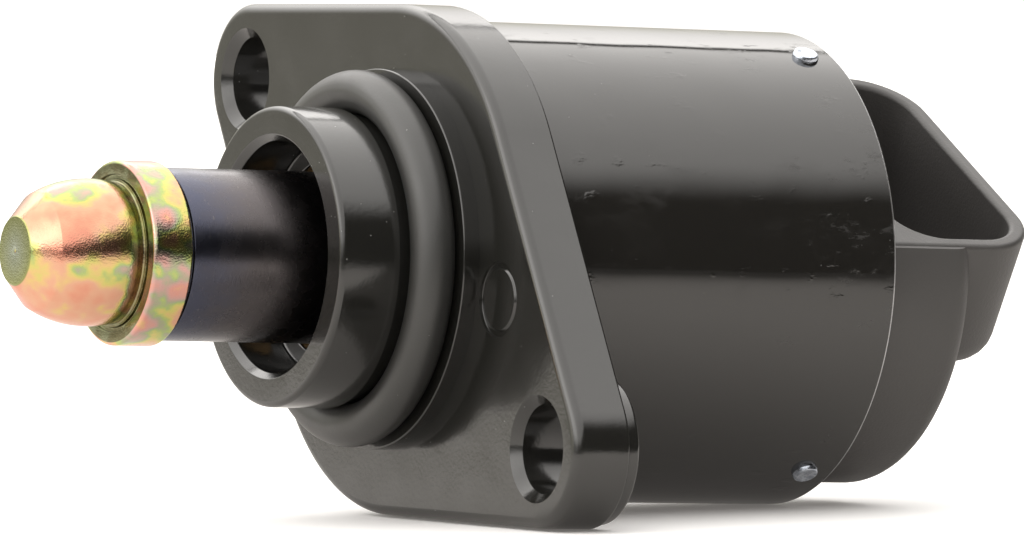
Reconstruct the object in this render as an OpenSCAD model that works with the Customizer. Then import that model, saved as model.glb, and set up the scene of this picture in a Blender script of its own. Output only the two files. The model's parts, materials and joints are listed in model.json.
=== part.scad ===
// Idle air control valve: a stepper motor in a steel can drives a screw that slides a zinc-plated pintle.
// The valve's axis is X, with the pintle towards -X. The origin is where the axis crosses the flange's front face.
// The valve is rolled about its axis so that it lies on the flange's straight lower edge, as on a bench.

/* [Mounting flange] */
// Distance between the centres of the two mounting holes
bolt_spacing = 54; // [50:0.5:58]
// Bore of each mounting hole
bolt_hole_d = 6.5; // [5.5:0.1:7]
// Chamfer round the front of each mounting hole
bolt_chamfer = 0.7; // [0.2:0.1:1]
// Radius of the round middle of the flange
flange_r = 19.1; // [18.6:0.1:21]
// Radius of the ear round each mounting hole
ear_r = 5.8; // [5:0.1:7]
// Thickness of the flange plate
flange_t = 4.6; // [3.5:0.1:7]
// Height of the pad behind each ear
ear_pad_t = 1; // [0.4:0.1:2]
// Rounding of the flange's front edge
flange_edge_r = 0.8; // [0.4:0.1:2]
// Radius of the ejector mark on the flange's face
mark_r = 2.8; // [1.5:0.1:3.2]
// Depth of the ejector mark
mark_depth = 0.25; // [0.1:0.05:0.5]
// Distance of the ejector mark from the axis along the line of the holes
mark_side = 16.2; // [15.5:0.1:16.6]
// Distance of the ejector mark from the line of the holes
mark_rise = 6.2; // [5.8:0.1:6.6]

/* [Spigot] */
// Outer radius of the spigot that enters the throttle body
spigot_r = 11.2; // [10.8:0.1:12]
// Length of the spigot ahead of the flange's face
spigot_len = 9.9; // [8:0.1:11]
// Radius of the pocket in the spigot's mouth
pocket_r = 8.6; // [8.3:0.1:9]
// Depth of the pocket in the spigot's mouth
pocket_depth = 4.4; // [3:0.1:5.4]
// Chamfer at the mouth of the pocket
pocket_chamfer = 0.5; // [0.2:0.1:1]
// Rounding of the spigot's front edge
spigot_edge_r = 0.45; // [0.2:0.05:0.8]
// Thickness of the sealing ring's round section
o_ring_section = 3.3; // [2.6:0.1:3.6]
// Height of the step that the sealing ring leans on
step_h = 1.3; // [0.6:0.1:2]
// Width of the step's edge that shows outside the sealing ring
step_lip = 0.15; // [0.1:0.05:1]
// Depth of the groove that the sealing ring sits in
ring_seat_depth = 0.45; // [0.2:0.05:0.8]
// Part of the groove that stays free in front of the sealing ring
ring_seat_play = 0.3; // [0.1:0.05:0.6]

/* [Motor can] */
// Outer radius of the steel can
can_r = 18; // [17.7:0.1:18.5]
// Thickness of the can's wall
can_wall = 0.8; // [0.6:0.05:1]
// Radius of the pins that hold the can
can_pin_r = 1; // [0.6:0.05:1.2]
// Height by which each pin stands out of the can
can_pin_proud = 0.5; // [0.2:0.1:1.4]
// Angle of the first pin from the middle of the socket's mouth
can_pin_turn = -2.5; // [-6:0.5:6]
// Distance of the pins from the can's rear edge
can_pin_inset = 2.6; // [2.2:0.1:3]
// Depth of the pins below the can's inner face
can_pin_depth = 2.45; // [1.8:0.05:2.8]
// Wall between the pins and the groove of the rear seal
pin_wall = 0.24; // [0.2:0.02:5]
// Thickness of the rubber seals in the can
seal_section = 1.2; // [1:0.05:1.4]
// Distance from the flange to the middle of the front seal
front_seal_inset = 3; // [2.5:0.1:4]
// Wall in front of the rear seal
rear_seal_wall = 0.4; // [0.3:0.05:1]

/* [Pintle and plunger] */
// Largest radius of the pintle's dome
dome_r = 5.45; // [5:0.05:5.8]
// Radius of the flat at the pintle's tip
tip_r = 2.5; // [1.5:0.1:3]
// Radius where the tip's cone meets the dome
shoulder_r = 4.4; // [4:0.05:4.6]
// Length of the tip's cone
cone_len = 1.75; // [1:0.05:2.5]
// Length of the dome
dome_len = 5.9; // [5:0.1:7]
// Radius of the collar behind the dome
collar_r = 6.84; // [6.6:0.02:7.2]
// Length of the collar behind the dome
collar_len = 3.2; // [2.5:0.1:4]
// Length of the screw's end that is pressed into the head, ahead of the collar
screw_grip = 2; // [1.5:0.1:3]
// Distance from the spigot's mouth to the collar's rear face at rest
reach = 9.9; // [9.2:0.1:11]
// Outer radius of the plunger's sleeve
sleeve_r = 6.4; // [6:0.05:6.5]
// Thickness of the sleeve's wall
sleeve_wall = 1; // [0.7:0.05:1.2]
// Radius of the lead screw
screw_r = 2; // [1.6:0.05:2.2]
// Width over the two flats that stop the screw from turning
screw_flats = 3.2; // [2.8:0.05:3.2]
// Travel of the pintle back from its place at rest
retract_travel = 8; // [6:0.5:8]
// Travel of the pintle forward from its place at rest
extend_travel = 1; // [0.5:0.25:1.5]

/* [Stepper motor] */
// Inner radius of the pole teeth
pole_r = 8.9; // [8.7:0.05:9.1]
// Thickness of the pole plates and their teeth
plate_t = 0.8; // [0.6:0.05:0.9]
// Number of pole teeth on each plate
pole_teeth = 10; // [8:1:12]
// Angle covered by a tooth at its root
tooth_root_angle = 17; // [12:1:18]
// Angle covered by a tooth at its tip
tooth_tip_angle = 9; // [6:1:10]
// Width of one coil's bobbin along the axis
bobbin_w = 6; // [5.4:0.1:6]
// Thickness of the bobbin's walls
bobbin_wall = 0.7; // [0.5:0.05:0.9]
// Air gap between the magnet and the pole teeth
air_gap = 0.35; // [0.25:0.05:0.5]
// Radial thickness of the rotor's magnet
magnet_t = 3.1; // [2.5:0.1:3.3]

/* [Bearings and spring] */
// Thickness of the wall of the bush that guides the sleeve
guide_wall = 1.55; // [1.45:0.05:1.65]
// Width of the front ball bearing
bearing_w = 3; // [2.8:0.1:3.2]
// Bore radius of the front ball bearing
bearing_bore_r = 4; // [3.8:0.05:4.1]
// Number of balls in the front bearing
ball_count = 8; // [6:1:9]
// Thickness of the plate whose slot keeps the screw from turning
lock_plate_t = 0.8; // [0.6:0.05:1]
// Radius of the rotor's rear journal
journal_r = 3; // [2.8:0.05:3.2]
// Thickness of the rear bush's wall
bush_wall = 2; // [1.5:0.1:2.4]
// Length of the rear bush
bush_len = 3.2; // [2.5:0.1:3.4]
// Thickness of the spring's wire
spring_wire = 0.7; // [0.5:0.05:0.8]
// Radius of the spring to the middle of its wire
spring_r = 4.3; // [3.8:0.05:4.5]
// Number of turns in the spring
spring_turns = 9; // [6:1:11]

/* [Connector] */
// Height of the socket's rim above the valve's axis
socket_rim = 9.8; // [9:0.1:11]
// Height of the socket's shroud from its lower edge to its rim
socket_height = 11.2; // [10.2:0.1:12]
// Length of the shroud behind the can
socket_len = 14.6; // [13.6:0.1:16]
// Width of the shroud across the valve
socket_w = 25.8; // [24:0.1:27]
// Thickness of the shroud's wall
socket_wall = 1.3; // [1:0.1:1.6]
// Radius of the shroud's rear corners
socket_corner_r = 5; // [3:0.1:6]
// Rounding of the shroud's lower edge
socket_edge_r = 2.4; // [0.5:0.1:3]
// Depth of the socket below its rim
socket_depth = 8.8; // [8:0.1:9]
// Thickness of the wall between the can and the socket
socket_front_wall = 3; // [2:0.1:4]
// Radius of the front corners inside the socket
socket_front_corner_r = 3.4; // [1:0.1:4.5]
// Radius of the round cap behind the can
cap_r = 16.3; // [15.5:0.1:16.8]
// Length of the round cap behind the can
cap_len = 8.2; // [5:0.1:10]
// Rounding of the cap's rear edge
cap_edge_r = 1.8; // [1:0.1:4]
// Number of terminals in the socket
terminal_count = 4; // [2:1:5]
// Distance from one terminal to the next
terminal_pitch = 4.2; // [3.6:0.1:4.4]
// Width of a terminal's blade
terminal_w = 2; // [1.5:0.1:2.4]
// Thickness of a terminal's blade
terminal_t = 0.6; // [0.5:0.05:0.8]
// Height of the blades above the socket's floor
terminal_h = 4.5; // [4:0.1:6.5]
// Distance from the socket's front wall to the blades
blade_inset = 1.6; // [1.2:0.1:3]

/* [Clearances] */
// Radial gap between parts that slide or turn in one another
run_gap = 0.05; // [0.03:0.01:0.08]
// Radial gap between parts that stay together
fit_gap = 0.03; // [0.02:0.01:0.05]
// Gap between flat faces that turn past each other
face_gap = 0.2; // [0.15:0.05:0.3]

/* [Hidden] */
$fn = 96;

// A little more than touching, so that a cut leaves no skin
over = 0.1;

// The hole line leans by the angle that lays the flange's lower edge flat
hole_r = bolt_hole_d / 2;
hole_offset = bolt_spacing / 2;
roll = asin((flange_r - ear_r) / hole_offset);

// Places along the axis, from front to back
spigot_front = -spigot_len;
collar_back = spigot_front - reach;
collar_front = collar_back - collar_len;
neck_len = 0.4;
dome_back = collar_front - neck_len;
dome_front = dome_back - dome_len;
tip_front = dome_front - cone_len;
dome_crest = dome_back - 0.3 * dome_len;
lip_t = 1;
lip_front = spigot_front + pocket_depth;
bush_front = lip_front + lip_t;
stop_gap = 0.3;
sleeve_back = 0.5;
lock_front = sleeve_back + retract_travel + stop_gap;
lock_back = lock_front + lock_plate_t;
bearing_back = lock_back + bearing_w;
stator_front = bearing_back + face_gap;
coil_w = bobbin_w + 2 * plate_t;
stator_back = stator_front + 2 * coil_w;
can_front = flange_t;
plug_front = stator_back + over;
seal_r = seal_section / 2;
seal_gap_r = seal_r + fit_gap;
rear_seal_x = plug_front + rear_seal_wall + seal_gap_r;
pin_x = rear_seal_x + seal_gap_r + pin_wall + can_pin_r;
can_back = pin_x + can_pin_inset;

// The sealing ring and the step that it leans on
ring_seat_r = spigot_r - ring_seat_depth;
ring_r = ring_seat_r + fit_gap + o_ring_section;
ring_front = -step_h - o_ring_section - ring_seat_play;
step_r = ring_r + step_lip;

// Radii of the motor, from the can inwards
can_inner_r = can_r - can_wall;
stack_r = can_inner_r - run_gap;
bearing_r = sleeve_r + run_gap + guide_wall;
seat_r = bearing_r + fit_gap;
tooth_outer_r = pole_r + plate_t;
magnet_r = pole_r - air_gap;
magnet_inner_r = magnet_r - magnet_t;
nut_r = magnet_inner_r - fit_gap;
magnet_front = stator_front + face_gap;
magnet_back = stator_back - face_gap;

// The sleeve, the screw and the spring
sleeve_inner_r = sleeve_r - sleeve_wall;
sleeve_step = 0.2;
sleeve_step_len = 0.3;
head_plug_len = 2;
screw_seat_r = screw_r + fit_gap;
screw_front = collar_front - screw_grip;
screw_back = magnet_front + 0.55 * (magnet_back - magnet_front);
thread_back = screw_back - extend_travel;
nut_bore_end = screw_back + retract_travel + stop_gap;
spring_front = collar_back + head_plug_len + spring_wire / 2 + fit_gap;
spring_back = lock_front - spring_wire / 2 - fit_gap;

// The seals of the can
seal_centre_r = can_inner_r - fit_gap - seal_r;
seal_floor_r = seal_centre_r - seal_r - fit_gap;
front_seal_x = can_front + front_seal_inset;

// The rear bush and the washer in front of it
washer_t = 0.3;
washer_front = magnet_back + run_gap;
rear_bush_front = washer_front + washer_t + run_gap;
rear_bush_back = rear_bush_front + bush_len;

// The socket
socket_back = can_back + socket_len;
socket_low = socket_rim - socket_height;
socket_floor = socket_rim - socket_depth;
socket_front = can_back + socket_front_wall;
blade_x = socket_front + blade_inset + terminal_t / 2;
leg_z = (socket_low + socket_floor - terminal_t) / 2;
leg_front = rear_bush_back + 0.6;

// Lays the valve down on its flange's lower edge
module rolled() {
    rotate([roll, 0, 0]) children();
}

// Turns a profile of [radius, place along the axis] round the valve's axis
module turned() {
    rotate([0, 90, 0]) rotate_extrude() children();
}

// A plain ring of the profile that turned() takes
module band(inner, outer, front, back) {
    translate([inner, front]) square([outer - inner, back - front]);
}

// A solid rod on the valve's axis
module rod(r, front, back) {
    turned() band(0, r, front, back);
}

// A disc's half section with its front outer corner rounded
module rounded_section(width, depth, edge) {
    difference() {
        square([width, depth]);
        difference() {
            translate([width - edge, -over]) square([edge + over, edge + over]);
            translate([width - edge, edge]) circle(edge);
        }
    }
}

// Repeats a shape round the axis
module around(count) {
    for (i = [0 : count - 1]) rotate([360 * i / count, 0, 0]) children();
}

// Discs whose hull is a disc with its front edge rounded
module rounded_disc(r) {
    steps = 5;
    for (i = [0 : steps]) let (a = 90 * i / steps, front = flange_edge_r * (1 - cos(a)))
        translate([0, 0, front]) cylinder(r = r - flange_edge_r * (1 - sin(a)), h = flange_t - front, $fn = 72);
}

// The flange plate: the round middle and the two ears, joined along their common tangents
module flange_plate() {
    rotate([0, 90, 0]) hull() {
        rounded_disc(flange_r);
        for (side = [-1, 1]) translate([0, side * hole_offset, 0]) rounded_disc(ear_r);
    }
}

// One mounting hole with its front chamfer
module bolt_hole() {
    rotate([0, 90, 0]) {
        translate([0, 0, -over]) cylinder(r = hole_r, h = flange_t + ear_pad_t + 2 * over);
        cylinder(r1 = hole_r + bolt_chamfer, r2 = hole_r, h = bolt_chamfer);
        translate([0, 0, -over]) cylinder(r = hole_r + bolt_chamfer, h = over);
    }
}

// The moulded housing: flange, spigot and the boss that enters the can
module flange_housing() {
    boss_wall = 2.2;
    core_floor_t = 1.5;
    core_front = flange_t + core_floor_t;
    mouth_r = pocket_r + pocket_chamfer;
    color([0.09, 0.09, 0.1]) rolled() difference() {
        union() {
            flange_plate();
            for (side = [-1, 1]) translate([flange_t - over, side * hole_offset, 0])
                rotate([0, 90, 0]) cylinder(r = ear_r, h = ear_pad_t + over);
            turned() {
                translate([0, spigot_front]) rounded_section(spigot_r, ring_front - spigot_front, spigot_edge_r);
                band(0, ring_seat_r, ring_front - over, over);
                band(0, step_r, -step_h, over);
                band(0, stack_r, 0, stator_front);
            }
        }
        for (side = [-1, 1]) translate([0, side * hole_offset, 0]) bolt_hole();
        turned() {
            polygon([[0, spigot_front - over], [mouth_r + over, spigot_front - over],
                [pocket_r, spigot_front + pocket_chamfer], [pocket_r, lip_front], [0, lip_front]]);
            band(0, sleeve_r + 0.8, lip_front - over, bush_front + over);
            band(0, seat_r, bush_front, stator_front + over);
            band(seat_r + boss_wall, stack_r - boss_wall, core_front, stator_front + over);
            band(seal_floor_r, stack_r + over, front_seal_x - seal_gap_r, front_seal_x + seal_gap_r);
        }
        translate([-over, -mark_side, mark_rise]) rotate([0, 90, 0]) difference() {
            cylinder(r = mark_r, h = mark_depth + over);
            translate([0, 0, mark_depth]) cylinder(r = 0.8 * mark_r, h = 2 * over);
        }
    }
}

// The rubber ring round the spigot
module spigot_o_ring() {
    color([0.12, 0.12, 0.12]) turned()
        translate([ring_r - o_ring_section / 2, -step_h - o_ring_section / 2]) circle(o_ring_section / 2);
}

// The long bush that the sleeve slides in
module guide_bush() {
    color([0.72, 0.55, 0.3]) turned() band(sleeve_r + run_gap, bearing_r, bush_front, lock_front);
}

// Points of the dome's outline: one arc from the cone's shoulder over the crest to the neck
dome_rise = dome_r - shoulder_r;
dome_run = dome_crest - dome_front;
dome_arc_r = (dome_rise * dome_rise + dome_run * dome_run) / (2 * dome_rise);
dome_steps = 16;
function dome_point(i) = let (x = dome_front + dome_len * i / dome_steps, d = x - dome_crest)
    [dome_r - dome_arc_r + sqrt(dome_arc_r * dome_arc_r - d * d), x];

// The pintle's head: tip, dome and collar, with a plug that closes the sleeve
module pintle_head() {
    neck_r = 5.2;
    groove_w = 0.45;
    groove_depth = 0.25;
    edge = 0.25;
    plug_r = sleeve_inner_r - fit_gap;
    color([0.86, 0.68, 0.35]) difference() {
        turned() polygon(concat(
            [[0, tip_front], [tip_r, tip_front]],
            [for (i = [0 : dome_steps]) dome_point(i)],
            [[neck_r, dome_back], [neck_r, collar_front], [collar_r - edge, collar_front],
                [collar_r, collar_front + edge], [collar_r, collar_back - edge], [collar_r - edge, collar_back],
                [plug_r, collar_back], [plug_r, collar_back + head_plug_len], [0, collar_back + head_plug_len]]));
        turned() {
            band(neck_r + over, neck_r + over + groove_w, collar_front - over, collar_front + groove_depth);
            band(0, screw_seat_r, screw_front, collar_back + head_plug_len + over);
        }
    }
}

// The blued sleeve behind the pintle's head
module plunger_sleeve() {
    color([0.2, 0.2, 0.26]) turned() {
        band(sleeve_inner_r, sleeve_r - sleeve_step, collar_back, collar_back + sleeve_step_len + over);
        band(sleeve_inner_r, sleeve_r, collar_back + sleeve_step_len, sleeve_back);
    }
}

// The screw, with the two flats that the lock plate holds
module lead_screw() {
    length = screw_back - screw_front;
    color([0.7, 0.7, 0.72]) rolled() intersection() {
        rod(screw_r, screw_front, screw_back);
        translate([screw_front - over, -screw_flats / 2, -screw_r - over])
            cube([length + 2 * over, screw_flats, 2 * (screw_r + over)]);
    }
}

// The points of the spring's helix and the tube swept along them
function helix(i, steps) = let (t = i / steps, a = 360 * spring_turns * t)
    [spring_front + (spring_back - spring_front) * t, spring_r * cos(a), spring_r * sin(a)];
function wire_ring(i, steps, sides) = let (a = 360 * spring_turns * i / steps, c = helix(i, steps))
    [for (k = [0 : sides - 1]) let (b = 360 * k / sides, w = spring_wire / 2)
        c + w * [sin(b), cos(b) * cos(a), cos(b) * sin(a)]];

// The spring between the pintle's head and the lock plate
module return_spring() {
    sides = 8;
    steps = spring_turns * 16;
    rings = [for (i = [0 : steps]) each wire_ring(i, steps, sides)];
    skin = [for (i = [0 : steps - 1], k = [0 : sides - 1]) let (n = (k + 1) % sides)
        [i * sides + k, i * sides + n, (i + 1) * sides + n, (i + 1) * sides + k]];
    first = [for (k = [sides - 1 : -1 : 0]) k];
    last = [for (k = [0 : sides - 1]) steps * sides + k];
    color([0.75, 0.76, 0.78]) polyhedron(points = rings, faces = concat(skin, [first], [last]), convexity = 10);
}

// The plate whose slotted hole lets the screw slide but not turn
module lock_plate() {
    slot_r = screw_r + run_gap;
    slot_w = screw_flats + 2 * run_gap;
    color([0.6, 0.6, 0.62]) rolled() difference() {
        rod(bearing_r, lock_front, lock_back);
        intersection() {
            rod(slot_r, lock_front - over, lock_back + over);
            translate([lock_front - over, -slot_w / 2, -slot_r])
                cube([lock_plate_t + 2 * over, slot_w, 2 * slot_r]);
        }
    }
}

// Sizes that the bearing's races, balls and cage share
race_t = 0.25 * (bearing_r - bearing_bore_r);
ball_r = race_t - run_gap;
ball_ring_r = (bearing_r + bearing_bore_r) / 2;
ball_x = lock_back + bearing_w / 2;
groove_r = ball_r + run_gap;

// One race of the bearing, with its groove for the balls
module race(inner, outer) {
    color([0.78, 0.79, 0.8]) turned() difference() {
        band(inner, outer, lock_back, bearing_back);
        translate([ball_ring_r, ball_x]) circle(groove_r);
    }
}

module bearing_outer_race() {
    race(bearing_r - race_t + 0.15, bearing_r);
}

module bearing_inner_race() {
    race(bearing_bore_r, bearing_bore_r + race_t - 0.15);
}

module bearing_balls() {
    color([0.85, 0.86, 0.88]) around(ball_count) translate([ball_x, 0, ball_ring_r]) sphere(ball_r);
}

module bearing_cage() {
    cage_half = 0.3;
    cage_w = bearing_w - 0.4;
    color([0.75, 0.6, 0.35]) difference() {
        turned() band(ball_ring_r - cage_half, ball_ring_r + cage_half, ball_x - cage_w / 2, ball_x + cage_w / 2);
        around(ball_count) translate([ball_x, 0, ball_ring_r]) sphere(groove_r);
    }
}

// The threaded hub that turns with the magnet and drives the screw
module rotor_nut() {
    shoulder = bearing_bore_r + 0.5;
    clearance_r = screw_r + 0.4;
    color([0.85, 0.83, 0.76]) difference() {
        turned() {
            band(0, bearing_bore_r - fit_gap, lock_back + face_gap, bearing_back + over);
            band(0, shoulder, bearing_back, magnet_front + over);
            band(0, nut_r, magnet_front, magnet_back);
            band(0, journal_r, magnet_back - over, rear_bush_back);
        }
        turned() {
            band(0, screw_r + run_gap, lock_back, thread_back);
            band(0, clearance_r, thread_back - over, nut_bore_end);
        }
    }
}

// The ring magnet that the coils pull round
module rotor_magnet() {
    color([0.3, 0.3, 0.32]) turned() band(magnet_inner_r, magnet_r, magnet_front, magnet_back);
}

module thrust_washer() {
    color([0.75, 0.75, 0.78]) turned()
        band(journal_r + run_gap, journal_r + bush_wall, washer_front, washer_front + washer_t);
}

module rear_bush() {
    color([0.7, 0.5, 0.28]) turned()
        band(journal_r + run_gap, journal_r + bush_wall, rear_bush_front, rear_bush_back);
}

// The pole teeth of one plate: a tapered comb wrapped round the magnet
module pole_comb(tooth_len) {
    root_w = 2 * tooth_outer_r * tan(tooth_root_angle / 2);
    tip_w = 2 * tooth_outer_r * tan(tooth_tip_angle / 2);
    intersection() {
        turned() band(pole_r, tooth_outer_r, 0, tooth_len);
        around(pole_teeth) linear_extrude(tooth_outer_r + over)
            polygon([[0, -root_w / 2], [tooth_len, -tip_w / 2], [tooth_len, tip_w / 2], [0, root_w / 2]]);
    }
}

// A pole plate whose teeth reach over the coil; the second plate of a pair faces back
module pole_plate(x, facing, step) {
    tooth_len = coil_w - plate_t - 0.3;
    color([0.66, 0.67, 0.68]) translate([x, 0, 0]) mirror([facing < 0 ? 1 : 0, 0, 0]) rotate([step, 0, 0]) {
        turned() band(pole_r, stack_r, 0, plate_t);
        pole_comb(tooth_len);
    }
}

half_pitch = 180 / pole_teeth;
module pole_plate_1() { pole_plate(stator_front, 1, 0); }
module pole_plate_2() { pole_plate(stator_front + coil_w, -1, half_pitch); }
module pole_plate_3() { pole_plate(stator_front + coil_w, 1, half_pitch / 2); }
module pole_plate_4() { pole_plate(stator_back, -1, half_pitch * 1.5); }

// The bobbin of one coil
bobbin_r = stack_r - 0.7;
bobbin_inner_r = tooth_outer_r + 0.15;
module bobbin(number) {
    front = stator_front + (number - 1) * coil_w + plate_t;
    color([0.85, 0.82, 0.7]) turned() difference() {
        band(bobbin_inner_r, bobbin_r, front, front + bobbin_w);
        band(bobbin_inner_r + bobbin_wall, bobbin_r + over, front + bobbin_wall, front + bobbin_w - bobbin_wall);
    }
}

module bobbin_1() { bobbin(1); }
module bobbin_2() { bobbin(2); }

// The copper wire wound on one bobbin
module winding(number) {
    front = stator_front + (number - 1) * coil_w + plate_t + bobbin_wall;
    color([0.72, 0.4, 0.2]) turned() band(bobbin_inner_r + bobbin_wall + fit_gap, bobbin_r - 0.4,
        front + fit_gap, front + bobbin_w - 2 * bobbin_wall - fit_gap);
}

module winding_1() { winding(1); }
module winding_2() { winding(2); }

// A rubber ring in a groove just inside the can
module can_seal(x) {
    color([0.15, 0.15, 0.15]) turned() translate([seal_centre_r, x]) circle(seal_r);
}

module front_seal() { can_seal(front_seal_x); }
module rear_seal() { can_seal(rear_seal_x); }

// The three places of the can's pins, with one near the middle of the socket's mouth
module at_pins() {
    rotate([can_pin_turn, 0, 0]) around(3) translate([pin_x, 0, 0]) children();
}

module motor_can() {
    color([0.07, 0.07, 0.08]) rolled() difference() {
        turned() band(can_inner_r, can_r, can_front, can_back);
        at_pins() cylinder(r = can_pin_r + run_gap, h = can_r + over);
    }
}

pin_bottom = can_inner_r - can_pin_depth;
module can_pins() {
    color([0.8, 0.81, 0.83]) rolled() at_pins()
        translate([0, 0, pin_bottom]) cylinder(r = can_pin_r, h = can_r + can_pin_proud - pin_bottom);
}

// The outline of the shroud seen along the socket's mouth
module shroud_outline(inset) {
    corner = socket_corner_r - inset;
    half_w = socket_w / 2 - inset;
    back = socket_back - inset;
    for (side = [-1, 1]) translate([back - corner, side * (half_w - corner)]) circle(corner);
    translate([can_back, -half_w]) square([back - corner - can_back, 2 * half_w]);
    translate([can_back, -half_w + corner]) square([back - can_back, 2 * (half_w - corner)]);
}

// The outline of the socket's hollow, with its four corners rounded
module socket_outline() {
    front_corner = socket_front_corner_r;
    half_w = socket_w / 2 - socket_wall;
    difference() {
        intersection() {
            shroud_outline(socket_wall);
            translate([socket_front, -half_w]) square([socket_len, 2 * half_w]);
        }
        for (side = [-1, 1]) difference() {
            translate([socket_front - over, side * half_w - (side < 0 ? over : front_corner)])
                square(front_corner + over);
            translate([socket_front + front_corner, side * (half_w - front_corner)]) circle(front_corner);
        }
    }
}

// The shroud's outer body, with its lower edge stepped in to a soft corner
module shroud_body() {
    translate([0, 0, socket_low + socket_edge_r]) linear_extrude(socket_height - socket_edge_r) shroud_outline(0);
    hull() {
        translate([0, 0, socket_low + socket_edge_r]) linear_extrude(over) shroud_outline(0, $fn = 32);
        translate([0, 0, socket_low + 0.3 * socket_edge_r]) linear_extrude(over)
            shroud_outline(0.3 * socket_edge_r, $fn = 32);
        translate([0, 0, socket_low]) linear_extrude(over) shroud_outline(socket_edge_r, $fn = 32);
    }
}

// A terminal: a blade in the socket and a leg that runs forward through the socket's floor
module terminal_shape(number, gap) {
    y = (number - (terminal_count + 1) / 2) * terminal_pitch;
    wide = terminal_w + 2 * gap;
    thick = terminal_t + 2 * gap;
    translate([blade_x - thick / 2, y - wide / 2, leg_z - gap])
        cube([thick, wide, socket_floor + terminal_h - leg_z + gap]);
    translate([leg_front, y - wide / 2, leg_z - gap]) cube([blade_x - leg_front, wide, thick]);
}

// The moulded rear cover: a plug in the can, a round cap and the open socket
module connector_housing() {
    plug_r = stack_r;
    color([0.16, 0.16, 0.16]) rolled() difference() {
        union() {
            turned() band(0, plug_r, plug_front, can_back);
            intersection() {
                turned() difference() {
                    band(0, cap_r, can_back - over, can_back + cap_len);
                    translate([cap_r - cap_edge_r, can_back + cap_len - cap_edge_r]) difference() {
                        square(cap_edge_r + over);
                        circle(cap_edge_r);
                    }
                }
                translate([can_back - over, -cap_r, -cap_r])
                    cube([cap_len + 2 * over, 2 * cap_r, cap_r + socket_rim]);
            }
            shroud_body();
        }
        translate([0, 0, socket_floor]) linear_extrude(socket_depth + over) socket_outline();
        turned() {
            band(0, journal_r + bush_wall + fit_gap, plug_front - over, rear_bush_back);
            band(0, journal_r + face_gap, plug_front - over, rear_bush_back + face_gap);
            band(seal_floor_r, plug_r + over, rear_seal_x - seal_gap_r, rear_seal_x + seal_gap_r);
        }
        at_pins() translate([0, 0, pin_bottom]) cylinder(r = can_pin_r + fit_gap, h = can_r);
        for (i = [1 : terminal_count]) terminal_shape(i, fit_gap);
    }
}

module terminal(number) {
    color([0.8, 0.72, 0.5]) rolled() terminal_shape(number, 0);
}

module terminal_1() { terminal(1); }
module terminal_2() { terminal(2); }
module terminal_3() { terminal(3); }
module terminal_4() { terminal(4); }

flange_housing();
spigot_o_ring();
guide_bush();
pintle_head();
plunger_sleeve();
lead_screw();
return_spring();
lock_plate();
bearing_outer_race();
bearing_inner_race();
bearing_balls();
bearing_cage();
rotor_nut();
rotor_magnet();
thrust_washer();
rear_bush();
pole_plate_1();
pole_plate_2();
pole_plate_3();
pole_plate_4();
bobbin_1();
bobbin_2();
winding_1();
winding_2();
front_seal();
rear_seal();
motor_can();
can_pins();
connector_housing();
terminal_1();
terminal_2();
terminal_3();
terminal_4();
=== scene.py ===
# %% [markdown]
# # An idle air control valve
#
# This valve sits on a throttle body and lets a little air past the closed throttle, so that an engine idles
# evenly. A stepper motor in the black can turns a screw, and the screw pushes the gold pintle in or out of
# its seat. The solids come from a CAD model. This script gives them their finish and their fine shapes:
# rounded moulding edges, passivated zinc, blued steel, gloss paint with smudges and a wound spring.
#
# Everything is in metres in Blender. The shapes are drawn in millimetres, because that is how such a part
# is measured, and one factor turns them into metres at the end.

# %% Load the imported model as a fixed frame
import json
import math

import bmesh
import bpy
from mathutils import Matrix, Vector


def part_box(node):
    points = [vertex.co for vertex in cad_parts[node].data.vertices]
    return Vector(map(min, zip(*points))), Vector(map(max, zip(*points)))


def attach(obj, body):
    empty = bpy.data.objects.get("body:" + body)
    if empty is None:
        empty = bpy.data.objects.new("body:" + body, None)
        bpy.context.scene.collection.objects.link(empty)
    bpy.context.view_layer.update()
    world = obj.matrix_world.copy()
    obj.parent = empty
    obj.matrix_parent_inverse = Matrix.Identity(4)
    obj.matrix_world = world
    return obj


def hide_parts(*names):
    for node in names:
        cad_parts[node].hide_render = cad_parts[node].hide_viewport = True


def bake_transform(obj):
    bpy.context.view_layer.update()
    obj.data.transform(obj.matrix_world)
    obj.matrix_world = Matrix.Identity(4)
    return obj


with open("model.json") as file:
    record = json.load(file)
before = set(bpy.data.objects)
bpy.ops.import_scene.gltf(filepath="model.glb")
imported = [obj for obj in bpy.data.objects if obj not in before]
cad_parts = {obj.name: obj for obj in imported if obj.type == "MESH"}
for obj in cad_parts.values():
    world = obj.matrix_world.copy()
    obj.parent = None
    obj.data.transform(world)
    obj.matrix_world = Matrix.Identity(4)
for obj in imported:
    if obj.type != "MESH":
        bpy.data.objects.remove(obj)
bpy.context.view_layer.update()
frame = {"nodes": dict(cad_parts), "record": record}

# %% [markdown]
# ## Places that the shapes share
#
# The valve's axis is X, with the pintle towards -X, and the flange's front face is at 0. The boxes of the
# CAD nodes give the places along the axis, so that a dressed piece starts and ends where its solid does.
#
# The valve is rolled about its axis until the flange's lower edge lies flat. The pieces that aren't round
# are drawn upright, with the socket's mouth towards +Z, and are rolled at the end by that one angle.
#
# A few walls and gaps are needed by more than one piece. FIT is the play between fixed pieces, and the
# can's gap is the play round the plastic that the can is pushed over.

# %% Read the places along the axis
MM = 0.001


def span(node, axis=0):
    """Lowest and highest place of a CAD node along one axis, in millimetres."""
    low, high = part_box(node)
    return low[axis] / MM, high[axis] / MM


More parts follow.
